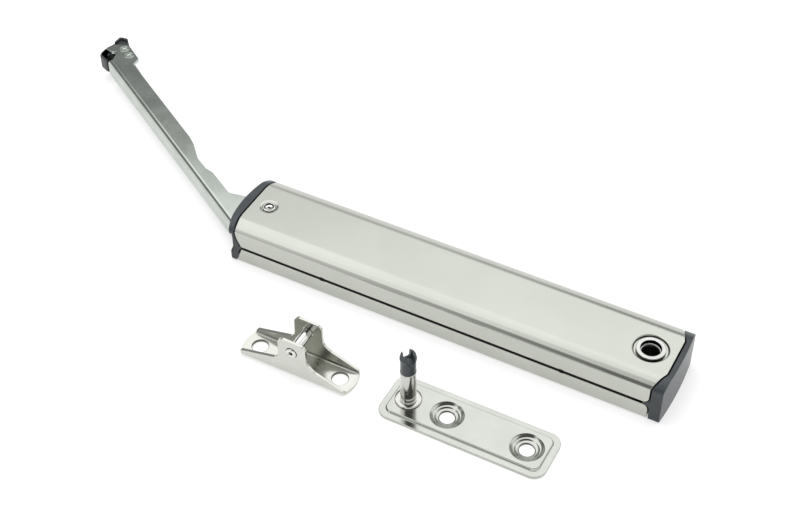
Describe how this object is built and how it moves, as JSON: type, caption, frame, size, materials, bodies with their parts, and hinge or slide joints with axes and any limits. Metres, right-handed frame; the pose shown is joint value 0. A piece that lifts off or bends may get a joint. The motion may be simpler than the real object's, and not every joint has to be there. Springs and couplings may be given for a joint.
{
  "type": "lift-up flap stay",
  "caption": "Lift-up flap stay: slim nickel-plated housing with a sprung lever arm and snap catch, a mounting plate with a snap post, and a flap bracket with a cross pin.",
  "frame": {"origin": "on the axis of the rear bush's bore, in the plane of the housing's back face", "axes": "+X from the arm pivot through the bush, +Z out of the back face towards the cover, +Y towards the side where the arm swings"},
  "size_m": [0.3025, 0.1331, 0.027],
  "materials": {
    "nickel_steel": "satin nickel plating",
    "bright_steel": "polished",
    "spring_steel": "drawn wire",
    "die_cast": "as cast",
    "slate_plastic": "moulded, fine grain",
    "black_plastic": "moulded, slightly shiny"
  },
  "bodies": {
    "housing": {"back_tray": "nickel_steel", "top_cover": "nickel_steel", "front_end_cap": "slate_plastic", "rear_end_cap": "slate_plastic", "pivot_bush": "bright_steel", "arm_pivot_pin": "bright_steel", "pivot_spacers": "slate_plastic", "side_liners": "black_plastic", "spring_abutment": "die_cast", "guide_rods": "bright_steel", "coil_spring_near": "spring_steel", "coil_spring_far": "spring_steel"},
    "arm": {"lever_arm": "nickel_steel", "arm_cam": "die_cast", "cam_rivets": "bright_steel", "head_rivets": "bright_steel"},
    "catch": {"catch": "black_plastic"},
    "carriage": {"spring_carriage": "slate_plastic", "roller_pin": "bright_steel"},
    "roller": {"cam_roller": "bright_steel"},
    "plate": {"mounting_plate": "nickel_steel", "pivot_post": "bright_steel", "snap_tip": "black_plastic"},
    "bracket": {"flap_bracket": "nickel_steel", "bracket_pin": "bright_steel"}
  },
  "joints": [
    {"name": "arm_swing", "type": "hinge", "parent": "housing", "child": "arm", "pos_m": [-0.1635, 0, 0.0094], "axis": [0, 0, 1], "range_deg": [-120, 20]},
    {"name": "catch_release", "type": "hinge", "parent": "arm", "child": "catch", "pos_m": [-0.28055, 0.06384, 0.0094], "axis": [0, 0, 1], "range_deg": [-30, 0], "stiffness_Nm_per_rad": 0.02, "springref_deg": 8.59},
    {"name": "carriage_slide", "type": "slide", "parent": "housing", "child": "carriage", "axis": [1, 0, 0], "range_m": [-0.0011, 0.0063], "deforming": ["coil_spring_near", "coil_spring_far"]},
    {"name": "roller_spin", "type": "hinge", "parent": "carriage", "child": "roller", "pos_m": [-0.15065, 0, 0.0094], "axis": [0, 0, 1], "continuous": true},
    {"name": "plate_lift", "type": "slide", "parent": "housing", "child": "plate", "axis": [0, 0, 1], "range_m": [0, 0.04]},
    {"name": "bracket_lift", "type": "slide", "parent": "housing", "child": "bracket", "axis": [0, 0, 1], "range_m": [0, 0.04]}
  ],
  "couplings": [
    {"joint": "carriage_slide", "follows": "arm_swing", "m_per_rad": -0.003}
  ]
}
